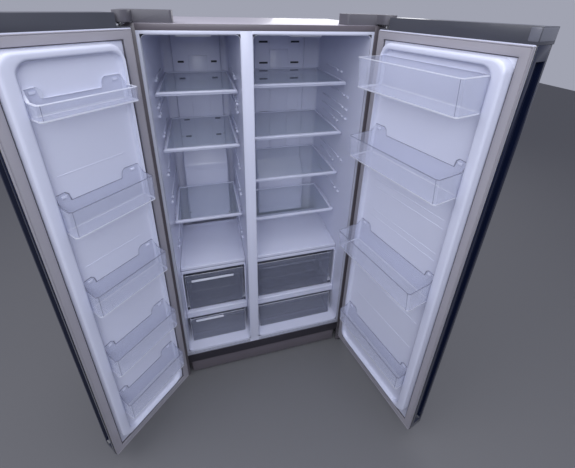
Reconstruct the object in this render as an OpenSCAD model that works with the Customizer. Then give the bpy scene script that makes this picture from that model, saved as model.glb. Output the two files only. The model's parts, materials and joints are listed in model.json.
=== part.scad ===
// Side by side refrigerator: freezer on the left, fresh food on the right.
// Origin on the floor, under the middle of the cabinet's front face. +Y runs into the cabinet.
// Both doors stand open at rest; joint travel closes them.

/* [Cabinet] */
// Width of the cabinet
case_w = 912; // [908:1:930]
// Height of the cabinet top above the floor
case_h = 1744; // [1740:1:1760]
// Depth of the cabinet without its doors
case_d = 600; // [596:1:620]
// Steel sheet thickness of the outer case
sheet = 1.2; // [0.8:0.1:1.5]
// Half of the width across both door openings
open_half = 399; // [398:1:400]
// Height of the floor of both compartments
open_z0 = 193; // [190:1:195]
// Height of the ceiling of both compartments
open_z1 = 1710; // [1708:1:1712]
// Depth of both compartments
cavity_d = 545; // [540:1:548]
// Wall thickness of the moulded liners
liner_t = 2.4; // [2:0.1:3]

/* [Divider] */
// Left face of the wall between the compartments
div_x0 = -88; // [-90:1:-86]
// Right face of the wall between the compartments
div_x1 = -44; // [-46:1:-42]

/* [Doors] */
// How far the freezer door stands open at rest
freezer_open = 137.4; // [0:0.1:140]
// How far the fridge door stands open at rest
fridge_open = 104.2; // [0:0.1:140]
// Distance of the hinge pins from the cabinet's sides
pin_in = 14; // [13:0.5:15]
// Distance of the hinge pins in front of the cabinet
pin_out = 40; // [39:0.5:42]
// Radius of the hinge pins
pin_r = 6; // [5:0.5:7]
// Distance of the door's outer face in front of the cabinet
door_front = 84; // [84:1:90]
// Height of the bottom of both doors
door_z0 = 104; // [104:1:106]
// Height of the flat top of both doors beside the hinge
door_z1 = 1738; // [1734:1:1739]
// Height of the raised top caps
cap_z = 1775; // [1770:1:1778]

/* [Shelves] */
// Heights of the three freezer shelves
freezer_shelf_z = [1501, 1270, 904];
// Heights of the four fridge shelves
fridge_shelf_z = [1508, 1275, 1060, 837];
// Thickness of a shelf frame
shelf_t = 12; // [10:1:14]
// Height of the lids over the drawers
lid_z = 650; // [645:1:652]

/* [Hidden] */
$fn = 48;
fit = 0.05;                      // running fit on every pin, per side
base_z = 12;                     // underside of the base frame
deck_z = 100;                    // top of the base frame
rail_z = 161;                    // top of the front rail, under the liners' lips
lip = 13;                        // width of the liners' front lips
lip_x = open_half + lip;
lip_z = open_z1 + lip;
side_x = case_w / 2;
pin_x = side_x - pin_in;
machine_y = 388;                 // front of the machine space
machine_z = 328;                 // top of the machine space
step_y = 374;                    // where the compartment floor steps up over it
step_z = 334;
gasket_w = 30;
gasket_end = 8;                  // hinge side of the gasket, kept inside the pin's radius
gasket_y = 10;                   // gap between cabinet and door that the gasket fills
gap_half = 2;                    // half of the gap between the doors
mid_x = (div_x0 + div_x1) / 2;
fridge_free = mid_x + gap_half;  // free edge of the fridge door, closed
freezer_free = -(mid_x - gap_half); // the same for the freezer door, mirrored
dyke_x1 = open_half - 3;         // hinge side of the raised part of a door liner
dyke_y = 30;
dyke_z = [197, 1698];
corner_r = 38;                   // round corners of a door liner's raised part
pocket_y = 12;
pocket_in = 66;                  // free edge to the pocket
pocket_r = 26;                   // its round corners
dyke_in = 34;                    // free edge to the raised part
bin_t = 2.5;
mauve = [0.36, 0.33, 0.36];
white = [0.86, 0.87, 0.93];
clear = [0.80, 0.84, 0.92, 0.5];
dark = [0.20, 0.20, 0.23];

// ---- helpers ----

// A block from one corner to the opposite one
module block(low, high) {
    translate(low) cube(high - low);
}

// A flat shape drawn in (Y, Z) and extruded along X from x0 to x1
module along_x(x0, x1) {
    translate([x0, 0, 0]) rotate([90, 0, 90]) linear_extrude(x1 - x0) children();
}

// The same piece on the left and on the right
module both_sides() {
    children();
    mirror([1, 0, 0]) children();
}

// A rectangle from (x0, y0) to (x1, y1) with round corners
module round_rect(x0, y0, x1, y1, r) {
    translate([x0 + r, y0]) square([x1 - x0 - 2 * r, y1 - y0]);
    translate([x0, y0 + r]) square([x1 - x0, y1 - y0 - 2 * r]);
    for (x = [x0 + r, x1 - r], y = [y0 + r, y1 - r]) translate([x, y]) circle(r);
}

// Doors are drawn closed, hinged on the right. These turn them to where they stand at rest.
module swung(angle) {
    translate([pin_x, -pin_out, 0]) rotate([0, 0, angle]) translate([-pin_x, pin_out, 0]) children();
}

module on_fridge_door() {
    swung(fridge_open) children();
}

module on_freezer_door() {
    mirror([1, 0, 0]) swung(freezer_open) children();
}

// ---- cabinet ----

module right_side_panel() {
    color(mauve) union() {
        block([side_x - sheet, 0, base_z], [side_x, case_d, case_h]);
        block([lip_x, 0, base_z], [side_x, sheet, case_h]);
    }
}

module left_side_panel() {
    mirror([1, 0, 0]) right_side_panel();
}

module top_panel() {
    inner = side_x - sheet;
    color(mauve) union() {
        block([-inner, sheet, case_h - sheet], [inner, case_d, case_h]);
        block([-lip_x, 0, lip_z], [lip_x, sheet, case_h]);
    }
}

module back_panel() {
    color([0.55, 0.55, 0.58])
    block([-side_x, case_d, machine_z + 2], [side_x, case_d + sheet, case_h]);
}

// Two side rails with the front feet's threads and the rear rollers' axles, and the machine tray
rail_w = 29;
rail_x = side_x - sheet - rail_w;
foot = [rail_x + rail_w / 2, 12];
foot_r = 11.5;
roller_y = 556;
roller_r = 22;
roller_gap = 1;
axle_r = 4;
cheek = 4;
module base_frame() {
    color("dimgray") union() {
        both_sides() difference() {
            block([rail_x, sheet, base_z], [rail_x + rail_w, case_d - 4, deck_z]);
            translate([foot[0], foot[1], base_z - 1]) cylinder(r = 6 + fit, h = 70);
            block([rail_x + cheek, roller_y - 27, base_z - 1],
                  [rail_x + rail_w - cheek, roller_y + 27, 60]);
        }
        both_sides() translate([rail_x, roller_y, roller_r]) rotate([0, 90, 0])
            cylinder(r = axle_r, h = rail_w);
        block([-rail_x, 36, deck_z - 3], [rail_x, machine_y, deck_z]);
        block([-rail_x, machine_y, 40], [rail_x, case_d - 4, 43]);
        block([-rail_x, machine_y, 43], [rail_x, machine_y + 2, deck_z]);
    }
}

module front_rail() {
    color(dark) block([-lip_x, 0, door_z0], [lip_x, 30, rail_z]);
}

module roller(s) {
    color("gray") translate([s * foot[0], roller_y, roller_r]) rotate([0, 90, 0]) difference() {
        cylinder(r = roller_r, h = rail_w - 2 * cheek - 2 * roller_gap, center = true);
        cylinder(r = axle_r + fit, h = rail_w, center = true);
    }
}

module levelling_feet() {
    color("black") both_sides() translate([foot[0], foot[1], 0]) {
        cylinder(r = foot_r, h = 8);
        translate([0, 0, 8]) cylinder(r = 6, h = 66);
    }
}

module kick_plate() {
    t = 3;
    color(mauve) translate([0, 0, base_z]) linear_extrude(deck_z - base_z - 2) polygon([
        [-412, 34], [-396, 12], [396, 12], [412, 34],
        [412 - t, 34], [396 - t, 12 + t], [t - 396, 12 + t], [t - 412, 34]]);
}

// A compartment's space grown by t, from front back to the rear wall
module liner_space(x0, x1, t, front) {
    along_x(x0 - t, x1 + t) polygon([
        [front, open_z0 - t], [step_y + t, open_z0 - t], [step_y + t, step_z - t],
        [cavity_d + t, step_z - t], [cavity_d + t, open_z1 + t], [front, open_z1 + t]]);
}

module divider_block() {
    block([div_x0, 0, rail_z], [div_x1, 6, lip_z]);
}

// One shelf runner on each wall of a compartment
runner_w = 10;
module runners(x0, x1, y0, y1, z) {
    block([x0, y0, z - 7], [x0 + runner_w, y1, z]);
    block([x1 - runner_w, y0, z - 7], [x1, y1, z]);
}

// A moulded liner: box, front lip, shelf runners and drawer rails
drawer_rail_z = 372;
drawer_rail_w = 24;
module liner(x0, x1, shelf_z, spare_z, front_y, back_y) {
    lip_x0 = x0 == div_x1 ? x0 : -lip_x;
    lip_x1 = x1 == div_x0 ? x1 : lip_x;
    color(white) difference() {
        union() {
            liner_space(x0, x1, liner_t, 0);
            block([lip_x0, 0, rail_z], [lip_x1, liner_t, lip_z]);
        }
        difference() {
            liner_space(x0, x1, 0, -1);
            for (i = [0:len(shelf_z) - 1])
                runners(x0, x1, front_y[i] + 20, back_y[i] - 12, shelf_z[i] - shelf_t);
            for (z = spare_z) runners(x0, x1, 130, 440, z);
            block([x0, 110, drawer_rail_z - 8], [x0 + drawer_rail_w, 440, drawer_rail_z]);
            block([x1 - drawer_rail_w, 110, drawer_rail_z - 8], [x1, 440, drawer_rail_z]);
        }
        divider_block();
    }
}

freezer_front = [104, 106, 128];
freezer_back = [514, 514, 446];
fridge_front = [150, 150, 155, 160];
fridge_back = [518, 518, 518, 442];

module freezer_liner() {
    liner(-open_half, div_x0, freezer_shelf_z, [1440, 1405, 1145, 1010, 760],
          freezer_front, freezer_back);
}

module fridge_liner() {
    liner(div_x1, open_half, fridge_shelf_z, [1445, 1388, 1345, 1135, 960],
          fridge_front, fridge_back);
}

module centre_divider() {
    color(white) divider_block();
}

module cabinet_foam() {
    inner = side_x - sheet;
    color("khaki") difference() {
        block([-inner, liner_t, deck_z + 4], [inner, case_d, case_h - sheet]);
        liner_space(-open_half, div_x0, liner_t, 0);
        liner_space(div_x1, open_half, liner_t, 0);
        divider_block();
        block([-lip_x, 0, door_z0], [lip_x, 30, rail_z]);
        block([-inner, machine_y, deck_z], [inner, case_d + 1, machine_z]);
    }
}

// ---- cold air ducts ----

vent_w = 28;
vent_h = 11;
// A cover over the rear wall: thin above step_z, deep enough for the coil below it
module duct_cover(x0, x1, top_y, low_y, slope_z, rise, z0, z1, vents) {
    t = 2.5;
    color(white) difference() {
        along_x(x0, x1) polygon([
            [cavity_d, z1], [top_y, z1 - 10], [top_y, slope_z + rise], [low_y, slope_z],
            [low_y, z0], [cavity_d, z0]]);
        along_x(x0 + t, x1 - t) polygon([
            [cavity_d + 1, z1 - t], [top_y + t, z1 - 12], [top_y + t, slope_z + rise - 1],
            [low_y + t, slope_z - 1], [low_y + t, z0 + t], [cavity_d + 1, z0 + t]]);
        for (v = vents) block([v[0] - vent_w / 2, top_y - 1, v[1] - vent_h / 2],
                              [v[0] + vent_w / 2, top_y + 6, v[1] + vent_h / 2]);
    }
}

module freezer_duct_cover() {
    duct_cover(-352, -122, 522, 452, 1020, 80, 656, 1700,
        [for (z = [1545, 1465, 1396, 1252, 1160], x = [-313, -157]) [x, z]]);
}

module fridge_duct_cover() {
    duct_cover(44, 312, 526, 450, 900, 80, 656, 1700,
        [for (z = [1636, 1533, 1493, 1451, 1268], x = [92, 258]) [x, z]]);
}

evap = [-237, 504];
evap_fan_z = 986;
module evaporator() {
    color("silver") union() {
        for (i = [0:13])
            block([-340 + i * 15.6, evap[1] - 30, 680], [-338.5 + i * 15.6, evap[1] + 30, 900]);
        for (z = [690:40:890], y = [-15, 15]) translate([-345, evap[1] + y, z]) rotate([0, 90, 0])
            cylinder(r = 4, h = 216);
        block([-240, evap[1] + 28, 900], [-234, evap[1] + 36, evap_fan_z]);
        block([-240, evap[1] + 20, 880], [-234, evap[1] + 36, 900]);
        translate([evap[0], evap[1] + 10, evap_fan_z]) rotate([-90, 0, 0]) cylinder(r = 20, h = 26);
        translate([evap[0], evap[1] - 14, evap_fan_z]) rotate([-90, 0, 0]) cylinder(r = 3, h = 25);
    }
}

// A fan rotor with its hub on the origin, turning on Z
module rotor(r, depth) {
    difference() {
        union() {
            cylinder(r = r * 0.3, h = depth, center = true);
            for (a = [0:72:288]) rotate([0, 0, a]) translate([r * 0.6, 0, 0]) rotate([32, 0, 0])
                cube([r * 0.7, r * 0.5, 2], center = true);
        }
        cylinder(r = 3 + fit, h = 4 * depth, center = true);
    }
}

module evaporator_fan() {
    color("dimgray") translate([evap[0], evap[1] - 4, evap_fan_z]) rotate([90, 0, 0]) rotor(52, 16);
}

// ---- machine space ----

module compressor() {
    color(dark) translate([-270, 498, 43]) union() {
        for (x = [-70, 70], y = [-45, 45]) translate([x, y, 0]) cylinder(r = 9, h = 12);
        block([-85, -58, 12], [85, 58, 15]);
        translate([0, 0, 15]) cylinder(r = 70, h = 90);
        translate([0, 0, 105]) sphere(r = 70);
        block([-30, -84, 60], [30, -60, 110]);
    }
}

cond_fan = [178, 496, 150];
module condenser() {
    color("gray") union() {
        for (i = [0:15]) block([-110 + i * 12, 430, 60], [-108 + i * 12, 560, 240]);
        for (z = [75:25:225], y = [450, 495, 540]) translate([-114, y, z]) rotate([0, 90, 0])
            cylinder(r = 3, h = 190);
        for (y = [436, 550]) block([-110, y, 43], [76, y + 4, 61]);
        translate([74, cond_fan[1], cond_fan[2]]) rotate([0, 90, 0]) cylinder(r = 24, h = 80);
        translate([150, cond_fan[1], cond_fan[2]]) rotate([0, 90, 0]) cylinder(r = 3, h = 40);
    }
}

module condenser_fan() {
    color("dimgray") translate(cond_fan) rotate([0, 90, 0]) rotor(72, 22);
}

module drain_pan() {
    color("black") difference() {
        block([240, 410, 43], [415, 590, 88]);
        block([243, 413, 46], [412, 587, 89]);
    }
}

inlet = [330, 190];
module compressor_cover() {
    color([0.5, 0.5, 0.53]) difference() {
        block([-side_x, case_d, base_z + 8], [side_x, case_d + sheet, machine_z]);
        for (x = [-400:50:200], z = [90, 130, 170, 210, 250])
            block([x, case_d - 1, z], [x + 36, case_d + 3, z + 8]);
        block([inlet[0] - 24, case_d - 1, inlet[1] - 14], [inlet[0] + 24, case_d + 3, inlet[1] + 14]);
    }
}

module mains_inlet() {
    color("black") union() {
        difference() {
            block([inlet[0] - 24, case_d - 30, inlet[1] - 14],
                  [inlet[0] + 24, case_d + sheet + 2, inlet[1] + 14]);
            block([inlet[0] - 18, case_d - 20, inlet[1] - 9],
                  [inlet[0] + 18, case_d + sheet + 3, inlet[1] + 9]);
        }
        for (p = [[-8, -3], [8, -3], [0, 4]])
            block([inlet[0] + p[0] - 1, case_d - 21, inlet[1] + p[1] - 2],
                  [inlet[0] + p[0] + 1, case_d - 4, inlet[1] + p[1] + 2]);
    }
}

// ---- hinges and trim on the cabinet ----

arm_z = case_h + 4;
module upper_hinges() {
    color("silver") both_sides() union() {
        block([340, 14, case_h], [452, 78, arm_z]);
        block([pin_x - 11, -pin_out, case_h], [pin_x + 11, 14, arm_z]);
        translate([pin_x, -pin_out, case_h]) cylinder(r = 12, h = 4);
        translate([pin_x, -pin_out, door_z1 - 24]) cylinder(r = pin_r, h = case_h - door_z1 + 24);
    }
}

module lower_hinges() {
    color("silver") both_sides() union() {
        block([pin_x - 20, -pin_out, door_z0 - 6], [pin_x + 12, -3, door_z0 - 2]);
        translate([pin_x, -pin_out, door_z0 - 6]) cylinder(r = 12, h = 4);
        block([pin_x - 20, -3, 50], [pin_x + 12, 0, door_z0 - 2]);
        translate([pin_x, -pin_out, door_z0 - 2]) cylinder(r = pin_r, h = 22);
    }
}

cover_x0 = 300;
lobe_r = 27;
cover_z = 1782;
// Plan of a hinge cover, shrunk by t on every side
module cover_plan(t) {
    round_rect(cover_x0 + t, 6 + t, side_x - t, 88 - t, 8 - t);
    intersection() {
        union() {
            translate([pin_x, -pin_out]) circle(lobe_r - t);
            translate([pin_x - lobe_r + t, -pin_out]) square([2 * lobe_r - 2 * t, pin_out + 30]);
        }
        translate([0, -100]) square([side_x - t, 200]);
    }
}

module hinge_covers() {
    t = 2.5;
    color(dark) both_sides() difference() {
        translate([0, 0, case_h]) linear_extrude(cover_z - case_h) cover_plan(0);
        translate([0, 0, case_h - 1]) linear_extrude(cover_z - case_h + 1 - t) cover_plan(t);
        block([380, -100, case_h - 1], [side_x + 1, 6, arm_z + 1]);
    }
}

module lamp_covers() {
    color("white") for (x = [-300, 110])
        block([x, 70, open_z1 - 12], [x + 120, 170, open_z1]);
}

// ---- lids over the drawers, each with its legs and the bar between the drawers ----

bar_z0 = 328;
bar_z1 = 368;
leg_w = 7;
module drawer_cover(x0, x1) {
    color(white) union() {
        block([x0, 102, lid_z - 4], [x1, 444, lid_z]);
        block([x0, 102, lid_z - 38], [x1, 106, lid_z - 4]);
        for (x = [x0, x1 - leg_w]) block([x, 86, bar_z1], [x + leg_w, 106, lid_z - 38]);
        block([x0, 82, bar_z0], [x1, 106, bar_z1]);
    }
}

module freezer_drawer_cover() {
    drawer_cover(-open_half + 1, div_x0 - 1);
}

module fridge_drawer_cover() {
    drawer_cover(div_x1 + 1, open_half - 1);
}

// ---- shelves: glass set in a plastic frame ----

edge_w = 14;
module shelf(x0, x1, y0, y1, z) {
    color(clear) union() {
        difference() {
            block([x0, y0, z - shelf_t], [x1, y1, z]);
            block([x0 + edge_w, y0 + edge_w, z - shelf_t - 1], [x1 - edge_w, y1 - edge_w, z + 1]);
        }
        block([x0, y0, z - shelf_t - 7], [x1, y0 + edge_w, z - shelf_t]);
        block([x0 + edge_w, y0 + edge_w, z - 6], [x1 - edge_w, y1 - edge_w, z - 2]);
    }
}

module freezer_shelf(i) {
    shelf(-open_half + 6, div_x0 - 6, freezer_front[i], freezer_back[i], freezer_shelf_z[i]);
}

module fridge_shelf(i) {
    shelf(div_x1 + 7, open_half - 13, fridge_front[i], fridge_back[i], fridge_shelf_z[i]);
}

// ---- drawers ----

// An open box with a taller front that leans back by lean, and a handle bar across the front
module drawer(x0, x1, y0, y1, z0, z1, side_z, handle_z, lean) {
    t = 2.5;
    function front(z) = y0 + lean * (z - z0) / (z1 - z0);
    grip_low = handle_z - 12;
    color(clear) union() {
        difference() {
            along_x(x0, x1)
                polygon([[y0, z0], [y1, z0], [y1, side_z], [front(side_z) + t, side_z],
                         [front(z1) + t, z1], [front(z1), z1]]);
            along_x(x0 + t, x1 - t)
                polygon([[front(z0 + t) + t, z0 + t], [y1 - t, z0 + t], [y1 - t, side_z + 1],
                         [front(side_z + 1) + t, side_z + 1]]);
        }
        block([x0 + 6, front(grip_low) - 9, grip_low], [x1 - 6, front(grip_low) + 1, handle_z - 1]);
    }
}

drawer_z1 = 600;
low_drawer_z1 = 322;
freezer_drawer_x = [-open_half + 13, div_x0 - 13];
fridge_drawer_x = [div_x1 + 12, open_half - 21];

module upper_drawer(x) {
    drawer(x[0], x[1], 97, 440, drawer_rail_z, drawer_z1, 560, 572, 0);
}

module lower_drawer(x) {
    drawer(x[0], x[1], 46, step_y - 4, open_z0, low_drawer_z1, 312, low_drawer_z1, 32);
}

// ---- doors, drawn closed and hinged on the right; xf is the free edge ----

skin_z0 = door_z0 + 4;
skin_z1 = door_z1 - 4;
module door_skin(xf) {
    color(dark) translate([0, 0, skin_z0]) linear_extrude(skin_z1 - skin_z0) difference() {
        round_rect(xf, -door_front, side_x, -gasket_y - 2, 8);
        round_rect(xf + sheet, sheet - door_front, side_x - sheet, -gasket_y - 2 - sheet, 8 - sheet);
        translate([xf - 1, 10 - door_front]) square([4, door_front]);
        translate([xf - 1, -gasket_y - 12]) square([430 - xf, 12]);
    }
}

// The hollow for a hand in the free edge of a door
grip_z = [door_z0 + 34, door_z1 - 44];
grip_y = [-68, -28];
grip_d = 16;
module grip_space(xf, t) {
    block([xf - 1, grip_y[0] - t, grip_z[0] - t], [xf + grip_d + t, grip_y[1] + t, grip_z[1] + t]);
}

module door_edge_trim(xf) {
    color(dark) difference() {
        union() {
            block([xf, 10 - door_front, skin_z0], [xf + 3, -gasket_y - 2, skin_z1]);
            intersection() {
                grip_space(xf, 2);
                block([xf, -door_front, skin_z0], [side_x, 0, skin_z1]);
            }
        }
        grip_space(xf, 0);
    }
}

// A round-cornered slab that faces the food space, from y0 to y1
module slab(x0, z0, x1, z1, r, y0, y1) {
    translate([0, y1, 0]) rotate([90, 0, 0]) linear_extrude(y1 - y0) round_rect(x0, z0, x1, z1, r);
}

// The raised part of a door liner, shrunk by t, reaching back to y0
module dyke(xf, t, y0) {
    slab(xf + dyke_in + t, dyke_z[0] + t, dyke_x1 - t, dyke_z[1] - t, corner_r - t, y0, dyke_y - t);
}

// The space for the bins, grown by t
module pocket(xf, t) {
    slab(xf + pocket_in - t, dyke_z[0] + 14 - t, dyke_x1 - 7 + t, dyke_z[1] - 21 + t,
         pocket_r + t, pocket_y - t, dyke_y + 10);
}

module door_liner(xf) {
    t = 2;
    color(white) difference() {
        union() {
            block([xf + 3, -gasket_y - 2, skin_z0], [side_x - 3, -gasket_y, skin_z1]);
            dyke(xf, 0, -gasket_y);
        }
        pocket(xf, 0);
        difference() {
            dyke(xf, t, -gasket_y - 3);
            pocket(xf, t);
        }
    }
}

module door_foam(xf) {
    back = -gasket_y - 2;
    color("khaki") difference() {
        union() {
            block([xf + 3, 10 - door_front, skin_z0], [side_x - 12, back - sheet, skin_z1]);
            difference() {
                dyke(xf, 2, back - sheet);
                pocket(xf, 2);
            }
        }
        grip_space(xf, 2);
        for (z = [skin_z0 - 1, skin_z1 - 26]) translate([pin_x, -pin_out, z]) cylinder(r = 13, h = 27);
    }
}

module door_gasket(xf) {
    color("lightgray") difference() {
        block([xf + 3, -gasket_y, door_z0 + 3], [side_x - gasket_end, -0.5, 1731]);
        block([xf + 3 + gasket_w, -gasket_y - 1, door_z0 + 3 + gasket_w],
              [side_x - gasket_end - gasket_w, 0, 1731 - gasket_w]);
    }
}

// The bush for the hinge pin, from z0 to z1
module hinge_bush(z0, z1) {
    translate([pin_x, -pin_out, z0]) cylinder(r = 12, h = z1 - z0);
}

module hinge_bore(z0, z1) {
    translate([pin_x, -pin_out, z0]) cylinder(r = pin_r + fit, h = z1 - z0);
}

cap_end = 45;                    // the raised cap stops short of the hinge
module door_top_cap(xf) {
    t = 3;
    color(dark) difference() {
        union() {
            translate([0, 0, skin_z1]) linear_extrude(door_z1 - skin_z1)
                round_rect(xf, -door_front, side_x, -gasket_y, 6);
            block([xf, -door_front, skin_z1], [side_x - cap_end, -gasket_y, cap_z]);
            hinge_bush(skin_z1 - 26, skin_z1);
        }
        block([xf + t, t - door_front, skin_z1 - 1], [side_x - cap_end - t, -gasket_y - t, cap_z - t]);
        hinge_bore(skin_z1 - 27, door_z1 + 1);
    }
}

module door_bottom_cap(xf) {
    color(dark) difference() {
        union() {
            translate([0, 0, door_z0]) linear_extrude(skin_z0 - door_z0)
                round_rect(xf, -door_front, side_x, -gasket_y, 6);
            hinge_bush(skin_z0, skin_z0 + 26);
        }
        hinge_bore(door_z0 - 1, skin_z0 + 27);
    }
}

// A bin's outline in plan: square at the back, corners cut at the front
module bin_plan(x0, x1, y1, t) {
    cut = 18;
    polygon([[x0 + t, pocket_y + t], [x1 - t, pocket_y + t], [x1 - t, y1 - cut / 2 - t],
             [x1 - t - cut / 2, y1 - t], [x0 + t + cut, y1 - t], [x0 + t, y1 - cut - t]]);
}

// A bin whose front leans out from y_low at the bottom to y_top at the rim
module door_bin(x0, x1, y_low, y_top, z0, z1) {
    t = bin_t;
    color(clear) difference() {
        intersection() {
            translate([0, 0, z0]) linear_extrude(z1 - z0) bin_plan(x0, x1, y_top, 0);
            along_x(x0, x1) polygon([[0, z0], [y_low, z0], [y_top, z1], [0, z1]]);
        }
        intersection() {
            translate([0, 0, z0 + t]) linear_extrude(z1 - z0) bin_plan(x0, x1, y_top, t);
            along_x(x0, x1) polygon([[0, z0], [y_low - t, z0], [y_top - t, z1], [0, z1]]);
        }
    }
}

bin_x1 = dyke_x1 - 8;
freezer_bin_z = [1208, 899, 597, 338];
fridge_bin_z = [1285, 848];
module deep_freezer_bins() {
    for (z = freezer_bin_z) door_bin(freezer_free + pocket_in + 1, bin_x1, 74, 78, z, z + 90);
}

module shallow_freezer_bin() {
    door_bin(freezer_free + pocket_in + 1, bin_x1, 74, 78, 1542, 1586);
}

module deep_fridge_bins() {
    for (z = fridge_bin_z) door_bin(fridge_free + pocket_in + 1, bin_x1, 122, 134, z, z + 90);
}

module tall_fridge_bin() {
    door_bin(fridge_free + pocket_in + 1, bin_x1, 122, 136, 1550, 1655);
}

module low_fridge_bin() {
    door_bin(fridge_free + pocket_in + 1, bin_x1, 64, 68, 354, 429);
}

// ---- the assembly ----

left_side_panel();
right_side_panel();
top_panel();
back_panel();
base_frame();
front_rail();
cabinet_foam();
freezer_liner();
fridge_liner();
centre_divider();
freezer_duct_cover();
fridge_duct_cover();
evaporator();
evaporator_fan();
compressor();
condenser();
condenser_fan();
drain_pan();
compressor_cover();
mains_inlet();
kick_plate();
levelling_feet();
roller(-1);  // left_roller
roller(1);  // right_roller
upper_hinges();
hinge_covers();
lower_hinges();
lamp_covers();
freezer_drawer_cover();
fridge_drawer_cover();
freezer_shelf(0);  // freezer_shelf_1
freezer_shelf(1);  // freezer_shelf_2
freezer_shelf(2);  // freezer_shelf_3
fridge_shelf(0);  // fridge_shelf_1
fridge_shelf(1);  // fridge_shelf_2
fridge_shelf(2);  // fridge_shelf_3
fridge_shelf(3);  // fridge_shelf_4
upper_drawer(freezer_drawer_x);  // freezer_drawer_upper
lower_drawer(freezer_drawer_x);  // freezer_drawer_lower
upper_drawer(fridge_drawer_x);  // fridge_drawer_upper
lower_drawer(fridge_drawer_x);  // fridge_drawer_lower
on_freezer_door() door_skin(freezer_free);  // freezer_door_skin
on_freezer_door() door_foam(freezer_free);  // freezer_door_foam
on_freezer_door() door_liner(freezer_free);  // freezer_door_liner
on_freezer_door() door_gasket(freezer_free);  // freezer_door_gasket
on_freezer_door() door_top_cap(freezer_free);  // freezer_door_top_cap
on_freezer_door() door_bottom_cap(freezer_free);  // freezer_door_bottom_cap
on_freezer_door() door_edge_trim(freezer_free);  // freezer_door_edge_trim
on_freezer_door() shallow_freezer_bin();  // freezer_bin_top
on_freezer_door() deep_freezer_bins();  // freezer_bins
on_fridge_door() door_skin(fridge_free);  // fridge_door_skin
on_fridge_door() door_foam(fridge_free);  // fridge_door_foam
on_fridge_door() door_liner(fridge_free);  // fridge_door_liner
on_fridge_door() door_gasket(fridge_free);  // fridge_door_gasket
on_fridge_door() door_top_cap(fridge_free);  // fridge_door_top_cap
on_fridge_door() door_bottom_cap(fridge_free);  // fridge_door_bottom_cap
on_fridge_door() door_edge_trim(fridge_free);  // fridge_door_edge_trim
on_fridge_door() tall_fridge_bin();  // fridge_bin_top
on_fridge_door() deep_fridge_bins();  // fridge_bins
on_fridge_door() low_fridge_bin();  // fridge_bin_low
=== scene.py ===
import json
import math

import bmesh
import bpy
from mathutils import Matrix, Vector


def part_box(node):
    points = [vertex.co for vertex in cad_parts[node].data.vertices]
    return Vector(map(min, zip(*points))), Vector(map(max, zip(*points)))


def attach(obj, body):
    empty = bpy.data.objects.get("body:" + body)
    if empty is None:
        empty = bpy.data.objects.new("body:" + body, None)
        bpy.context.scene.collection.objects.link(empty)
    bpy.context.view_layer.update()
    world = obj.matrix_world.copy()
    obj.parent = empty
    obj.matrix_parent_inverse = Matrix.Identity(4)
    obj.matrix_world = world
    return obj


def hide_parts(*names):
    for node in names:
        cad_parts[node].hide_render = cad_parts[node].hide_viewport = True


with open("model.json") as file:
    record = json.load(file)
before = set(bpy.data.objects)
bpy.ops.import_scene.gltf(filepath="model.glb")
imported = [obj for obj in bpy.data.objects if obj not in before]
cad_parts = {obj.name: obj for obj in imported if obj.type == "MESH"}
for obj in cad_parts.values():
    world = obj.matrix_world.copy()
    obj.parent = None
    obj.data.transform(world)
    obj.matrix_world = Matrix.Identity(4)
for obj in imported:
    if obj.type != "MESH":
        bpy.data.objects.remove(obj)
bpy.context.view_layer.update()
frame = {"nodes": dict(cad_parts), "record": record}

# ---------------------------------------------------------------------------
# Room: a plain grey floor under soft boxes, and the eye of someone who stands in
# front of the open doors and looks down into them.
# ---------------------------------------------------------------------------

eye = Vector((-0.2298, -1.1469, 1.8042))
eye_yaw, eye_pitch, eye_roll = 0.2705, -0.432, 0.0272
ahead = Vector((math.sin(eye_yaw) * math.cos(eye_pitch), math.cos(eye_yaw) * math.cos(eye_pitch),
                math.sin(eye_pitch)))
level = Vector((math.cos(eye_yaw), -math.sin(eye_yaw), 0))
upward = level.cross(ahead)
across = level * math.cos(eye_roll) + upward * math.sin(eye_roll)
upward = upward * math.cos(eye_roll) - level * math.sin(eye_roll)
view_data = bpy.data.cameras.new("view")
view_data.sensor_width = 36
view_data.lens = 20.13
view_data.shift_y = -0.1397
view_camera = bpy.data.objects.new("view", view_data)
view_camera.matrix_world = Matrix((
    (across.x, upward.x, -ahead.x, eye.x),
    (across.y, upward.y, -ahead.y, eye.y),
    (across.z, upward.z, -ahead.z, eye.z),
    (0, 0, 0, 1)))
bpy.context.collection.objects.link(view_camera)
bpy.context.scene.camera = view_camera
bpy.context.scene.view_settings.view_transform = "Standard"

sky = bpy.data.worlds.new("studio")
sky.use_nodes = True
sky.node_tree.nodes["Background"].inputs["Color"].default_value = (0.80, 0.83, 1.0, 1)
sky.node_tree.nodes["Background"].inputs["Strength"].default_value = 0.44
bpy.context.scene.world = sky


def soft_light(name, place, aim, size, power, tint):
    """A studio soft box that faces its aim point"""
    lamp = bpy.data.lights.new(name, "AREA")
    lamp.shape = "RECTANGLE"
    lamp.size, lamp.size_y = size
    lamp.energy = power
    lamp.color = tint
    box = bpy.data.objects.new(name, lamp)
    box.location = place
    box.rotation_mode = "QUATERNION"
    box.rotation_quaternion = (Vector(aim) - Vector(place)).to_track_quat("-Z", "Y")
    bpy.context.collection.objects.link(box)


soft_light("front_box", (-0.5, -2.6, 2.7), (0, 0.2, 0.9), (2.2, 1.4), 36, (0.90, 0.94, 1.0))
soft_light("left_box", (-2.2, -0.6, 2.9), (0.4, -0.2, 0.9), (1.6, 1.6), 24, (0.97, 0.97, 1.0))
soft_light("top_box", (0.1, -0.9, 3.5), (0.1, -0.2, 0.9), (2.6, 1.8), 30, (0.96, 0.97, 1.0))
soft_light("back_box", (1.6, 3.0, 2.2), (0, 0.3, 0.9), (2.0, 2.0), 30, (0.97, 0.97, 1.0))


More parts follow.
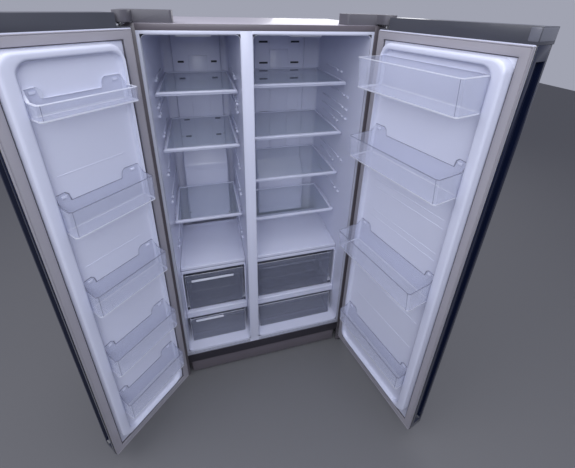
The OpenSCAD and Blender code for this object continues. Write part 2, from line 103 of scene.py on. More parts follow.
def plain_floor():
    mesh = bpy.data.meshes.new("floor")
    reach = 9
    mesh.from_pydata([(-reach, -reach, 0), (reach, -reach, 0), (reach, reach, 0), (-reach, reach, 0)],
                     [], [(0, 1, 2, 3)])
    floor = bpy.data.objects.new("floor", mesh)
    paint = bpy.data.materials.new("floor_paint")
    paint.use_nodes = True
    shader = paint.node_tree.nodes["Principled BSDF"]
    shader.inputs["Base Color"].default_value = (0.16, 0.16, 0.17, 1)
    shader.inputs["Roughness"].default_value = 0.8
    mesh.materials.append(paint)
    bpy.context.collection.objects.link(floor)


plain_floor()

# ---------------------------------------------------------------------------
# Outer case: folded steel, one sheet for each side and one for the top, hooked
# together at the corners, with a narrow flange turned in round the opening.
# Baked enamel, mauve grey; the top face takes a paler copy of it, painted light where the top faces the lamps.
# ---------------------------------------------------------------------------


def surface_age():
    """Slow colour drift, settled dust and fine grain, shared by every finish"""
    group = bpy.data.node_groups.new("surface_age", "ShaderNodeTree")
    for name in ("Base", "Worn"):
        group.interface.new_socket(name=name, in_out="INPUT", socket_type="NodeSocketColor")
    for name in ("Drift scale", "Drift", "Dust", "Grain scale", "Rough low", "Rough high"):
        group.interface.new_socket(name=name, in_out="INPUT", socket_type="NodeSocketFloat")
    for name, kind in (("Color", "NodeSocketColor"), ("Roughness", "NodeSocketFloat"),
                       ("Height", "NodeSocketFloat")):
        group.interface.new_socket(name=name, in_out="OUTPUT", socket_type=kind)
    nodes, links = group.nodes, group.links
    given, out = nodes.new("NodeGroupInput"), nodes.new("NodeGroupOutput")
    place = nodes.new("ShaderNodeTexCoord")
    drift = nodes.new("ShaderNodeTexNoise")
    drift.inputs["Detail"].default_value = 4
    grain = nodes.new("ShaderNodeTexNoise")
    grain.inputs["Detail"].default_value = 2
    links.new(place.outputs["Object"], drift.inputs["Vector"])
    links.new(place.outputs["Object"], grain.inputs["Vector"])
    links.new(given.outputs["Drift scale"], drift.inputs["Scale"])
    links.new(given.outputs["Grain scale"], grain.inputs["Scale"])
    facing = nodes.new("ShaderNodeNewGeometry")
    up = nodes.new("ShaderNodeSeparateXYZ")
    links.new(facing.outputs["Normal"], up.inputs["Vector"])
    settled = nodes.new("ShaderNodeMapRange")
    settled.inputs["From Min"].default_value = 0.6
    links.new(up.outputs["Z"], settled.inputs["Value"])
    dusty = nodes.new("ShaderNodeMath")
    dusty.operation = "MULTIPLY"
    links.new(settled.outputs["Result"], dusty.inputs[0])
    links.new(given.outputs["Dust"], dusty.inputs[1])
    spread = nodes.new("ShaderNodeMapRange")
    spread.inputs["From Min"].default_value = 0.35
    spread.inputs["From Max"].default_value = 0.7
    links.new(drift.outputs["Fac"], spread.inputs["Value"])
    tone = nodes.new("ShaderNodeMath")
    tone.operation = "MULTIPLY"
    links.new(spread.outputs["Result"], tone.inputs[0])
    links.new(given.outputs["Drift"], tone.inputs[1])
    total = nodes.new("ShaderNodeMath")
    total.operation = "ADD"
    total.use_clamp = True
    links.new(dusty.outputs[0], total.inputs[0])
    links.new(tone.outputs[0], total.inputs[1])
    blend = nodes.new("ShaderNodeMix")
    blend.data_type = "RGBA"
    links.new(total.outputs[0], blend.inputs["Factor"])
    links.new(given.outputs["Base"], blend.inputs["A"])
    links.new(given.outputs["Worn"], blend.inputs["B"])
    links.new(blend.outputs["Result"], out.inputs["Color"])
    rough = nodes.new("ShaderNodeMapRange")
    links.new(total.outputs[0], rough.inputs["Value"])
    links.new(given.outputs["Rough low"], rough.inputs["To Min"])
    links.new(given.outputs["Rough high"], rough.inputs["To Max"])
    links.new(rough.outputs["Result"], out.inputs["Roughness"])
    links.new(grain.outputs["Fac"], out.inputs["Height"])
    return group


aged = surface_age()


def finish(name, base, worn, rough, drift=0.35, dust=0.0, drift_scale=3.0, grain_scale=400.0, bump=0.02,
           metallic=0.0, coat=0.0, see_through=None):
    """A moulded, painted or plated surface; see_through is its opacity (face on, edge on)"""
    material = bpy.data.materials.new(name)
    material.use_nodes = True
    nodes, links = material.node_tree.nodes, material.node_tree.links
    shader = nodes["Principled BSDF"]
    age = nodes.new("ShaderNodeGroup")
    age.node_tree = aged
    age.inputs["Base"].default_value = (*base, 1)
    age.inputs["Worn"].default_value = (*worn, 1)
    age.inputs["Drift scale"].default_value = drift_scale
    age.inputs["Drift"].default_value = drift
    age.inputs["Dust"].default_value = dust
    age.inputs["Grain scale"].default_value = grain_scale
    age.inputs["Rough low"].default_value = rough[0]
    age.inputs["Rough high"].default_value = rough[1]
    links.new(age.outputs["Color"], shader.inputs["Base Color"])
    links.new(age.outputs["Roughness"], shader.inputs["Roughness"])
    relief = nodes.new("ShaderNodeBump")
    relief.inputs["Strength"].default_value = bump
    relief.inputs["Distance"].default_value = 0.001
    links.new(age.outputs["Height"], relief.inputs["Height"])
    links.new(relief.outputs["Normal"], shader.inputs["Normal"])
    shader.inputs["Metallic"].default_value = metallic
    shader.inputs["Coat Weight"].default_value = coat
    if see_through:
        rim = nodes.new("ShaderNodeLayerWeight")
        rim.inputs["Blend"].default_value = 0.35
        opacity = nodes.new("ShaderNodeMapRange")
        opacity.inputs["To Min"].default_value = see_through[0]
        opacity.inputs["To Max"].default_value = see_through[1]
        links.new(rim.outputs["Facing"], opacity.inputs["Value"])
        links.new(opacity.outputs["Result"], shader.inputs["Alpha"])
    return material


def soften(bm, width, segments=2, angle=35, edges=None, paint=-1):
    """Breaks every edge sharper than angle, as a press or a mould leaves it"""
    if edges is None:
        sharp = math.radians(angle)
        edges = [e for e in bm.edges if len(e.link_faces) == 2 and e.calc_face_angle(0) > sharp]
    if edges:
        bmesh.ops.bevel(bm, geom=edges, offset=width, segments=segments, profile=0.5, affect="EDGES",
                        clamp_overlap=True, material=paint)


def smooth_by_angle(mesh, angle=32):
    mesh.shade_smooth()
    mesh.set_sharp_from_angle(angle=math.radians(angle))


def put(name, bm, materials, body, nodes=(), angle=32):
    """Turns a finished bmesh into a piece that rides on a body and stands for CAD nodes"""
    mesh = bpy.data.meshes.new(name)
    bm.to_mesh(mesh)
    bm.free()
    for material in materials:
        mesh.materials.append(material)
    smooth_by_angle(mesh, angle)
    piece = bpy.data.objects.new(name, mesh)
    bpy.context.collection.objects.link(piece)
    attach(piece, body)
    if nodes:
        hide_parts(*nodes)
    return piece


def body_of(node):
    """The CAD body that holds a node"""
    bodies = frame["record"]["behaviour"]["bodies"]
    return next(body for body, nodes in bodies.items() if node in nodes)


def slot_of(node):
    """The material slot that the record gives a node"""
    return next(s["material_slot"] for s in frame["record"]["subparts"] if s["node"] == node)


def eased(node, materials, width, segments=2):
    """A piece with a CAD node's own shape and its sharp edges broken"""
    bm = bmesh.new()
    bm.from_mesh(frame["nodes"][node].data)
    for face in bm.faces:
        face.material_index = 0
    bmesh.ops.remove_doubles(bm, verts=bm.verts, dist=2e-5)
    bmesh.ops.dissolve_limit(bm, angle_limit=math.radians(1), verts=bm.verts, edges=bm.edges)
    soften(bm, width, segments)
    return put(node + "_made", bm, materials, body_of(node), [node])


enamel = finish("mauve_enamel", (0.135, 0.118, 0.138), (0.19, 0.17, 0.19), (0.34, 0.5), dust=0.25,
                grain_scale=900, bump=0.05, coat=0.15)
# the case enamel made paler for the top face: painted light where the top faces the lamps
top_enamel_painted_light = finish("top_enamel_painted_light", (0.42, 0.38, 0.45), (0.56, 0.53, 0.60), (0.34, 0.5), dust=0.45,
                    grain_scale=900, bump=0.05, coat=0.15)
stock = {"case_paint": enamel}
for sheet_node in ("left_side_panel", "right_side_panel"):
    eased(sheet_node, [enamel], 0.0004)


def top_sheet():
    """The top sheet: its upper face takes the paler enamel as painted light, its front flange is in the case
    colour
    """
    piece = eased("top_panel", [enamel, top_enamel_painted_light], 0.0005)
    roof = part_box("top_panel")[1].z
    # faces on the very top take the paler enamel as painted light
    for face in piece.data.polygons:
        face.material_index = 1 if face.center.z > roof - 0.001 else 0


top_sheet()

# ---------------------------------------------------------------------------
# Cabinet liners: one thermoformed white box for each compartment, its mouth and
# corners drawn with soft radii, with small moulded runners for the shelves.
# Pushed into the case and foamed in from behind.
# ---------------------------------------------------------------------------

white_plastic = finish("white_moulding", (0.70, 0.72, 0.86), (0.63, 0.65, 0.80), (0.22, 0.34), drift=0.4)
lamp_plastic = finish("lamp_moulding", (0.85, 0.86, 0.90), (0.8, 0.8, 0.84), (0.3, 0.4))
foam = finish("cabinet_foam", (0.72, 0.60, 0.32), (0.62, 0.48, 0.22), (0.8, 0.95), bump=0.3,
              grain_scale=250)
stock.update(white_plastic=white_plastic, lamp_plastic=lamp_plastic, foam=foam)
mm = 0.001


def add_block(bm, low, high):
    """Adds a closed box between two corners and returns its edges"""
    made = bmesh.ops.create_cube(bm, size=1)
    low, high = Vector(low), Vector(high)
    for vert in made["verts"]:
        vert.co = Vector(high[i] if vert.co[i] > 0 else low[i] for i in range(3))
    return list({e for v in made["verts"] for e in v.link_edges})


def add_bar(bm, low, high, ease, segments=3):
    """Adds a box with its own soft edges"""
    soften(bm, ease, segments, edges=add_block(bm, low, high))


def carve(solid, void):
    """Cuts one closed shape out of another, uses both up and returns what is left"""
    pieces = []
    for bm in (solid, void):
        bmesh.ops.recalc_face_normals(bm, faces=bm.faces)
        mesh = bpy.data.meshes.new("blank")
        bm.to_mesh(mesh)
        bm.free()
        pieces.append(bpy.data.objects.new("blank", mesh))
        bpy.context.collection.objects.link(pieces[-1])
    cut = pieces[0].modifiers.new("cut", "BOOLEAN")
    cut.operation, cut.solver, cut.object = "DIFFERENCE", "EXACT", pieces[1]
    shown = pieces[0].evaluated_get(bpy.context.evaluated_depsgraph_get())
    left = bmesh.new()
    left.from_mesh(bpy.data.meshes.new_from_object(shown))
    for piece in pieces:
        bpy.data.objects.remove(piece)
    bmesh.ops.remove_doubles(left, verts=left.verts, dist=1e-6)
    return left


def stepped_space(x0, x1, z0, z1, depth, step_y, step_z, round_by):
    """The food space: a box whose floor steps up over the machine space"""
    bm = bmesh.new()
    front = -0.02
    side = [(front, z0), (step_y, z0), (step_y, step_z), (depth, step_z), (depth, z1), (front, z1)]
    near = [bm.verts.new((x0, y, z)) for y, z in side]
    far = [bm.verts.new((x1, y, z)) for y, z in side]
    bm.faces.new(near)
    bm.faces.new(far[::-1])
    for i in range(len(side)):
        j = (i + 1) % len(side)
        bm.faces.new((near[j], near[i], far[i], far[j]))
    bmesh.ops.recalc_face_normals(bm, faces=bm.faces)
    inner = [e for e in bm.edges if not all(v.co.y < front + 1e-4 for v in e.verts)]
    soften(bm, round_by, 5, edges=inner)
    return bm


shelf_nodes = {"freezer": [f"freezer_shelf_{i}" for i in (1, 2, 3)],
               "fridge": [f"fridge_shelf_{i}" for i in (1, 2, 3, 4)]}
spare_runners = {"freezer": (1.440, 1.405, 1.145, 1.010, 0.760),
                 "fridge": (1.445, 1.388, 1.345, 1.135, 0.960)}  # tops of the runners that hold no shelf


def runner(bm, x, inward, y0, y1, top):
    """A moulded runner: two round knobs towards the user, then a slim rail"""
    front_knob = (y0, y0 + 0.019, 0.010, 0.012, 0.0048, 4)
    second_knob = (y0 + 0.042, y0 + 0.058, 0.009, 0.011, 0.0044, 4)
    rail = (y0 + 0.066, y1, 0.0045, 0.0045, 0.0016, 2)
    for start, stop, reach, thick, ease, segments in (front_knob, second_knob, rail):
        low_x, high_x = sorted((x - inward * mm, x + inward * reach))
        add_bar(bm, (low_x, start, top - thick), (high_x, stop, top), ease, segments)


groove_shade = finish("groove_shade", (0.10, 0.10, 0.13), (0.07, 0.07, 0.09), (0.6, 0.75))


drawer_rails = ((0.372, 0.33, 0.024), (0.618, 0.26, 0.004))  # height, length and reach from the wall
# heights of three thin dark bars on the lip: painted shade standing for moulded grooves
sill_shadow_lines = (0.164, 0.172, 0.180)
slot_rise = 0.034  # from a shelf's top to the runner above that holds it down


def cabinet_liner(room):
    """One compartment's box with its lip, its runners, the drawers' rails and three dark sill bars painted as
    groove shade
    """
    low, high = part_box(room + "_liner")
    wall = 2.4 * mm
    x0, x1 = (-0.399, -0.088) if room == "freezer" else (-0.044, 0.399)
    z0, z1, depth = 0.193, 1.710, 0.545
    solid = bmesh.new()
    add_block(solid, (max(low.x, x0 - wall), 0, z0 - wall),
              (min(high.x, x1 + wall), depth + wall, z1 + wall))
    liner = carve(solid, stepped_space(x0, x1, z0, z1, depth, 0.374, 0.334, 0.016))
    lip = bmesh.new()
    add_block(lip, (low.x, 0, low.z), (high.x, wall, high.z))
    hole = bmesh.new()
    add_block(hole, (x0, -0.01, z0), (x1, 0.01, z1))
    soften(hole, 0.016, 5, edges=[e for e in hole.edges
                                 if abs(e.verts[0].co.y - e.verts[1].co.y) > 0.01])
    lip = carve(lip, hole)
    soften(lip, 0.0011, 2)
    spare = bpy.data.meshes.new("lip")
    lip.to_mesh(spare)
    lip.free()
    liner.from_mesh(spare)
    bpy.data.meshes.remove(spare)
    for node in shelf_nodes[room]:
        shelf_low, shelf_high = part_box(node)
        for x, inward in ((x0, 1), (x1, -1)):
            runner(liner, x, inward, shelf_low.y + 0.02, shelf_high.y - 0.012, shelf_high.z - 0.012)
            if shelf_low.z > 0.95:
                runner(liner, x, inward, shelf_low.y + 0.07, shelf_high.y - 0.1, shelf_high.z + slot_rise)
    for top in spare_runners[room]:
        for x, inward in ((x0, 1), (x1, -1)):
            runner(liner, x, inward, 0.130, 0.44, top)
    for x, inward in ((x0, 1), (x1, -1)):
        for top, length, reach in drawer_rails:
            low_x, high_x = sorted((x - inward * mm, x + inward * reach))
            add_bar(liner, (low_x, 0.12, top - 0.008), (high_x, 0.12 + length, top), 0.002)
        low_x, high_x = sorted((x - inward * mm, x + inward * 0.005))
        add_bar(liner, (low_x, 0.27, 0.6502), (high_x, 0.46, 0.654), 0.0012, 2)
    first = len(liner.faces)
    # three dark bars across the lip, painted shade for moulded grooves
    for z in sill_shadow_lines:
        add_bar(liner, (low.x + 0.004, -0.0004, z), (high.x - 0.004, 0.001, z + 0.0026), 0.0002, 1)
    liner.faces.ensure_lookup_table()
    for face in liner.faces[first:]:
        face.material_index = 1
    put(room + "_liner_moulding", liner, [white_plastic, groove_shade], "cabinet", [room + "_liner"])


for room in ("freezer", "fridge"):
    cabinet_liner(room)
eased("lamp_covers", [lamp_plastic], 0.0030, 3)


def divider_strip():
    """The white strip between the mouths, slightly crowned"""
    low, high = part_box("centre_divider")
    bm = bmesh.new()
    add_block(bm, low, high)
    soften(bm, 0.0022, 3)
    for z in (0.188, 0.176, 0.166):
        add_bar(bm, (low.x, low.y - 0.0003, z), (high.x, 0.001, z + 0.0018), 0.0004, 1)
    put("divider_strip", bm, [white_plastic], "cabinet", ["centre_divider"])


divider_strip()

# ---------------------------------------------------------------------------
# Sliding shelves: a pane of clear tempered glass gripped in a white moulded
# frame, with a deeper bar along its front to pull by.
# ---------------------------------------------------------------------------

glass = finish("shelf_glass_sheet", (0.42, 0.50, 0.60), (0.38, 0.45, 0.55), (0.03, 0.06),
               see_through=(0.05, 0.36))
stock["shelf_glass"] = glass


def band(bm, loops, lid=False):
    """Joins loops of points into a skin: closed by a lid at each end, or joined back to the first loop"""
    rows = [[bm.verts.new(p) for p in loop] for loop in loops]
    last = rows if lid else rows + [rows[0]]
    for near, far in zip(last, last[1:]):
        for i in range(len(near)):
            j = (i + 1) % len(near)
            bm.faces.new((near[i], near[j], far[j], far[i]))
    if lid:
        bm.faces.new(rows[0][::-1])
        bm.faces.new(rows[-1])
    return rows


def shelf(node):
    """One shelf: the moulded frame with its front bar, and the pane it grips"""
    low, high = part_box(node)
    top, thick, side, front_bar = high.z, 0.009, 0.0105, 0.012

    def loop(inset, z):
        x0, x1 = low.x + inset, high.x - inset
        y0 = low.y + (inset if inset < 0.006 else inset + front_bar - side)
        y1 = high.y - inset
        return [(x0, y0, z), (x1, y0, z), (x1, y1, z), (x0, y1, z)]

    frame_bm = bmesh.new()
    band(frame_bm, [loop(0, top - thick + 0.001), loop(0, top - 0.0035), loop(0.0012, top - 0.0012),
                    loop(0.004, top), loop(side - 0.002, top), loop(side, top - 0.0015),
                    loop(side, top - 0.007), loop(side - 0.003, top - thick), loop(0.001, top - thick)])
    bmesh.ops.recalc_face_normals(frame_bm, faces=frame_bm.faces)
    add_bar(frame_bm, (low.x, low.y + 0.005, low.z + 0.002),
            (high.x, low.y + 0.011, top - thick + 0.002), 0.0022)
    for x in (low.x + 0.02, high.x - 0.04):
        add_bar(frame_bm, (x, high.y - 0.008, top - 0.002), (x + 0.02, high.y, top), 0.001, 2)
    put(node + "_frame", frame_bm, [white_plastic], body_of(node), [node])
    pane = bmesh.new()
    add_block(pane, (low.x + side - 0.002, low.y + front_bar - 0.002, top - 0.0055),
              (high.x - side + 0.002, high.y - side + 0.002, top - 0.0018))
    soften(pane, 0.0006, 2)
    put(node + "_pane", pane, [glass], body_of(node), [node])


for node in shelf_nodes["freezer"] + shelf_nodes["fridge"]:
    shelf(node)

# ---------------------------------------------------------------------------
# Doors: everything on a door is drawn with the door shut and its hinge on the
# right, then swung to where it stands; the freezer door is the mirror image.
# ---------------------------------------------------------------------------


def hung(room):
    """Where a shut, right-hinged door drawing goes so that the door stands as it does at rest"""
    joint = next(j for j in frame["record"]["behaviour"]["joints"] if j["name"] == room + "_door_hinge")
    pin = Matrix.Translation(Vector(joint["pos_m"]))
    turn = Matrix.Rotation(math.radians(-joint["range_deg"][0]), 4, Vector(joint["axis"]))
    flip = Matrix.Scale(-1, 4, (1, 0, 0)) if room == "freezer" else Matrix.Identity(4)
    return pin @ turn @ pin.inverted() @ flip


door_place = {room: hung(room) for room in ("freezer", "fridge")}


def shut_box(room, node):
    """A door piece's lowest and highest corners in its shut drawing"""
    back = door_place[room].inverted()
    points = [back @ v.co for v in frame["nodes"][node].data.vertices]
    return (Vector(min(p[i] for p in points) for i in range(3)),
            Vector(max(p[i] for p in points) for i in range(3)))


def hang(room, name, bm, materials, nodes, angle=32):
    """Swings a door piece into place and puts it on its door"""
    bmesh.ops.transform(bm, matrix=door_place[room], verts=bm.verts)
    if door_place[room].determinant() < 0:
        bmesh.ops.reverse_faces(bm, faces=bm.faces)
    return put(room + "_" + name, bm, materials, room + "_door", nodes, angle)


def round_loop(x0, x1, z0, z1, radius, y, steps=7):
    """A rectangle with round corners in a plane that faces the user"""
    points = []
    for cx, cz, start in ((x1 - radius, z1 - radius, 0), (x0 + radius, z1 - radius, 90),
                          (x0 + radius, z0 + radius, 180), (x1 - radius, z0 + radius, 270)):
        for i in range(steps + 1):
            a = math.radians(start + 90 * i / steps)
            points.append((cx + radius * math.cos(a), y, cz + radius * math.sin(a)))
    return points


# ---------------------------------------------------------------------------
# Door liners: a white thermoformed sheet with a raised rim all round a shallow
# pocket. Small pads on the pocket's walls carry the bins, and foam behind the
# sheet glues it to the door.
# ---------------------------------------------------------------------------

# kind, heights of the floors above ground, and how tall each bin of that kind is
door_bins = {"freezer": (("bin_top", (1.542,), 0.044), ("bins", (1.208, 0.899, 0.597, 0.338), 0.090)),
             "fridge": (("bin_top", (1.550,), 0.105), ("bins", (1.285, 0.848), 0.090),
                        ("bin_low", (0.354,), 0.075))}
pocket_ridges = {"freezer": (1.375, 1.06), "fridge": (1.182, 1.150, 1.045, 1.015, 0.700, 0.560)}


def door_liner(room):
    """The raised rim and the pocket inside it, with the pads and ridges on the pocket's floor"""
    low, high = shut_box(room, room + "_door_liner")
    free = low.x - 0.003
    back, flange = -0.012, -0.010
    rim = (free + 0.034, 0.396, 0.197, 1.698)
    well = (free + 0.066, 0.389, 0.211, 1.677)

    def rim_loop(inset, radius, y):
        return round_loop(rim[0] + inset, rim[1] - inset, rim[2] + inset, rim[3] - inset, radius, y)

    def well_loop(inset, radius, y):
        return round_loop(well[0] + inset, well[1] - inset, well[2] + inset, well[3] - inset, radius, y)

    loops = [round_loop(low.x, high.x, low.z, high.z, 0.003, back),
             round_loop(low.x, high.x, low.z, high.z, 0.003, flange),
             rim_loop(-0.006, 0.040, flange), rim_loop(-0.001, 0.036, flange + 0.003)]
    for step in range(6):
        a = math.radians(90 * step / 5)
        loops.append(rim_loop(0.009 * (1 - math.cos(a)), 0.036, 0.021 + 0.009 * math.sin(a)))
    for step in range(5):
        a = math.radians(90 * step / 4)
        loops.append(well_loop(-0.006 * (1 - math.sin(a)), 0.034, 0.024 + 0.006 * math.cos(a)))
    for step in range(5):
        a = math.radians(90 * step / 4)
        loops.append(well_loop(0.002 + 0.008 * (1 - math.cos(a)), 0.030 - 0.004 * step / 4,
                               0.0205 - 0.0085 * math.sin(a)))
    bm = bmesh.new()
    band(bm, loops, lid=True)
    bmesh.ops.recalc_face_normals(bm, faces=bm.faces)
    floor_y = 0.012
    for kind, heights, tall in door_bins[room]:
        for z in heights:
            for x0, x1 in ((well[0] - 0.001, well[0] + 0.0008), (well[1] - 0.0008, well[1] + 0.001)):
                add_bar(bm, (x0, 0.0145, z + 0.02), (x1, 0.0235, z + 0.05), 0.0006, 2)
            for x in (well[0] + 0.016, well[1] - 0.034):
                add_bar(bm, (x, floor_y - 0.001, z + tall + 0.012),
                        (x + 0.014, floor_y + 0.0035, z + tall + 0.020), 0.0012, 2)
    for z in pocket_ridges[room]:
        add_bar(bm, (well[0] + 0.022, floor_y - 0.001, z), (well[1] - 0.045, floor_y + 0.0007, z + 0.003),
                0.0006, 2)
    hang(room, "door_liner_moulding", bm, [white_plastic], [room + "_door_liner"])


def door_foam(room):
    """The foam behind a liner: it fills the raised rim but stays under its round edges"""
    node = room + "_door_foam"
    bm = bmesh.new()
    bm.from_mesh(frame["nodes"][node].data)
    bmesh.ops.transform(bm, matrix=door_place[room].inverted(), verts=bm.verts)
    for vert in bm.verts:
        vert.co.y = min(vert.co.y, 0.017)
    for face in bm.faces:
        face.material_index = 0
    bmesh.ops.remove_doubles(bm, verts=bm.verts, dist=2e-5)
    hang(room, "door_foam_fill", bm, [foam], [node])


for room in ("freezer", "fridge"):
    door_liner(room)
    door_foam(room)

# ---------------------------------------------------------------------------
# Door seals: an extruded rubber frame, mitred and welded at its corners, with
# ribs along its outside and a soft hollow nose over the magnet strip.
# ---------------------------------------------------------------------------

seal_profile = ((0, -10), (0, -2.2), (0.7, -1.2), (1.8, -1.2), (2.5, -2.2), (3.1, -3.0), (3.7, -2.4),
                (5.0, -1.6), (9.0, -1.2), (13.5, -0.8), (19.0, -0.8), (23.5, -1.4), (26.4, -2.2),
                (27.2, -5.6), (29.2, -5.8), (30, -10))
seal_rubber = finish("door_seal", (0.36, 0.345, 0.385), (0.29, 0.275, 0.31), (0.5, 0.65), bump=0.05)
stock["gasket_rubber"] = seal_rubber
# dark finish for the seal's deepest groove: painted shade
seal_groove_painted_shade = finish("seal_groove_painted_shade", (0.10, 0.095, 0.11), (0.07, 0.065, 0.075), (0.6, 0.75))


def door_seal(room):
    """The seal's section, inset and height in millimetres, carried round the four sides"""
    low, high = shut_box(room, room + "_door_gasket")
    bm = bmesh.new()
    loops = []
    for inset, y in seal_profile:
        d = inset * mm
        loops.append([(low.x + d, y * mm, low.z + d), (high.x - d, y * mm, low.z + d),
                      (high.x - d, y * mm, high.z - d), (low.x + d, y * mm, high.z - d)])
    band(bm, loops)
    # faces deeper than 4.1 mm take the dark finish as painted shade in the groove
    for face in bm.faces:
        deep = max(v.co.y for v in face.verts) < -0.0041
        face.material_index = int(deep)
    bmesh.ops.recalc_face_normals(bm, faces=bm.faces)
    hang(room, "door_seal", bm, [seal_rubber, seal_groove_painted_shade], [room + "_door_gasket"], 24)


for room in ("freezer", "fridge"):
    door_seal(room)

# ---------------------------------------------------------------------------
# Door bins: injection moulded in clear plastic, with a low front, cut corners,
# and taller ears at the wall where the hooks are. They drop over the pads. Their
# bottom edges are painted bright as a highlight; their rims are painted bright
# as a highlight on the top bins and dark as shade on the others.
# ---------------------------------------------------------------------------

clear_plastic = finish("clear_moulding", (0.72, 0.75, 0.92), (0.62, 0.66, 0.84), (0.06, 0.12),
                       see_through=(0.07, 0.5))
stock["clear_plastic"] = clear_plastic
# bright clear finish: painted highlight on bin bottoms, top bin rims and drawer rims
clear_edge_painted_highlight = finish("clear_edge_painted_highlight", (0.86, 0.88, 0.98), (0.78, 0.8, 0.92), (0.08, 0.16),
                    see_through=(0.75, 0.95))
# dark clear finish: painted shade on the rims and front uprights of the other bins
clear_rim_painted_shade = finish("clear_rim_painted_shade", (0.20, 0.21, 0.28), (0.16, 0.17, 0.23), (0.08, 0.16),
                   see_through=(0.65, 0.9))


def bin_shell(bm, x0, x1, y_low, y_top, z0, z1, ear, bright):
    """One bin: it leans out from its floor to its rim, with thin walls and a tab at each end of its back"""
    wall, back = 0.0025, 0.0124
    floor = z0 + wall

    def outline(depth, inset):
        reach = depth - inset
        a, b = x0 + inset, x1 - inset
        rear = back + inset
        return [(a, rear), (a + 0.026, rear), (a + 0.033, rear), (a + 0.037, rear), (b - 0.064, rear),
                (b - 0.060, rear), (b - 0.052, rear), (b - 0.008, rear), (b, rear), (b, rear + 0.004),
                (b, rear + 0.016), (b, reach - 0.004), (b - 0.004, reach), (a + 0.007, reach),
                (a, reach - 0.007), (a, rear + 0.016), (a, rear + 0.004)]

    def ring(z, inset):
        depth = y_low + (y_top - y_low) * (z - z0) / (z1 - z0)
        return [(x, y, z) for x, y in outline(depth, inset)]

    def crested(inset, drop):
        return [(x, y, z - drop) for (x, y), z in zip(outline(y_top, inset), rim)]

    crest = z1 + ear
    tab = max(ear - 0.008, 0)
    rim = [crest - 0.003, crest, z1 + tab, z1, z1, z1 + tab, crest, crest, z1 + tab, z1 + tab * 0.6,
           z1, z1, z1, z1, z1, z1, z1 + tab * 0.6]
    lip = 0.006 if bright else wall
    rows = band(bm, [ring(z0, 0.0015), ring(z0 + 0.0015, 0), ring(z0 + 0.006, 0), crested(0, 0.002),
                     crested(0, 0), crested(lip, 0), ring(floor, wall)], lid=True)
    around = len(rim)
    bm.faces.ensure_lookup_table()
    # bottom chamfer and lowest band of wall: painted highlight
    for face in bm.faces[:2 * around]:
        face.material_index = 1
    # top of the outer wall and the rim: painted highlight on top bins, painted shade on the rest
    for face in bm.faces[3 * around:5 * around]:
        face.material_index = 1 if bright else 2
    front_corners = [rows[2][i] for i in (12, 13)]
    uprights = [e for v in front_corners for e in v.link_edges if e.other_vert(v) in rows[3]]
    bmesh.ops.recalc_face_normals(bm, faces=bm.faces)
    # front uprights: painted shade
    soften(bm, 0.0009, 1, edges=uprights, paint=2)


def door_bin_set(room):
    """Every bin on one door, each leaning out from its floor to its rim"""
    for kind, heights, tall in door_bins[room]:
        node = f"{room}_{kind}"
        low, high = shut_box(room, node)
        lean = 0.004 if room == "freezer" or kind == "bin_low" else 0.012
        for number, z in enumerate(heights, 1):
            bm = bmesh.new()
            ear = 0.0 if room == "fridge" and kind == "bin_top" else 0.030
            bin_shell(bm, low.x, high.x, high.y - lean, high.y, z, z + tall, ear, kind == "bin_top")
            hang(room, f"{kind}_moulding_{number}", bm, [clear_plastic, clear_edge_painted_highlight, clear_rim_painted_shade], [node])


for room in ("freezer", "fridge"):
    door_bin_set(room)

# ---------------------------------------------------------------------------
# Drawer lids: a white moulded tray top over each pair of drawers, with a round
# front edge and a second rounded bar just below it. Two legs carry the bars
# between the drawers. They clip to the liner's walls.
# ---------------------------------------------------------------------------


def drawer_lid(room):
    """The lid, its two legs, the double bar between the drawers and the low ridge on top"""
    node = room + "_drawer_cover"
    low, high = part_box(node)
    top, front = high.z, low.y + 0.020
    bm = bmesh.new()
    add_bar(bm, (low.x, front, top - 0.005), (high.x, high.y, top), 0.0016)
    for x in (low.x, high.x - 0.007):
        add_bar(bm, (x, low.y + 0.006, 0.366), (x + 0.007, front + 0.004, top - 0.036), 0.0018)
    add_bar(bm, (low.x, front - 0.0015, top - 0.018), (high.x, front + 0.004, top - 0.001), 0.0026, 4)
    add_bar(bm, (low.x, front - 0.0005, top - 0.040), (high.x, front + 0.0055, top - 0.0225), 0.0026, 4)
    add_bar(bm, (low.x, low.y, 0.352), (high.x, low.y + 0.024, 0.368), 0.0035, 4)
    add_bar(bm, (low.x, low.y + 0.002, 0.328), (high.x, low.y + 0.022, 0.350), 0.0025, 3)
    inset = 0.018
    ridge = [(low.x + inset, front + 0.012), (high.x - inset, front + 0.012),
             (high.x - inset, high.y - 0.02), (low.x + inset, high.y - 0.02)]
    for (xa, ya), (xb, yb) in zip(ridge, ridge[1:] + ridge[:1]):
        add_bar(bm, (min(xa, xb) - 0.0014, min(ya, yb) - 0.0014, top - 0.001),
                (max(xa, xb) + 0.0014, max(ya, yb) + 0.0014, top + 0.0010), 0.0005, 1)
    put(room + "_drawer_lid", bm, [white_plastic], "cabinet", [node])


# ---------------------------------------------------------------------------
# Drawers: clear moulded boxes, their plastic painted darker as shade under the
# lid, their rims painted bright as a highlight, with a pull bar across the front
# and one or two fine ribs below it. The lower ones lean back at the front, and
# the freezer's carry a pale strip on the pull.
# ---------------------------------------------------------------------------

# clear plastic made darker: painted shade for the dim space under the lid
drawer_plastic_painted_shade = finish("drawer_moulding_painted_shade", (0.30, 0.32, 0.42), (0.24, 0.26, 0.35), (0.06, 0.14),
                        see_through=(0.20, 0.6))


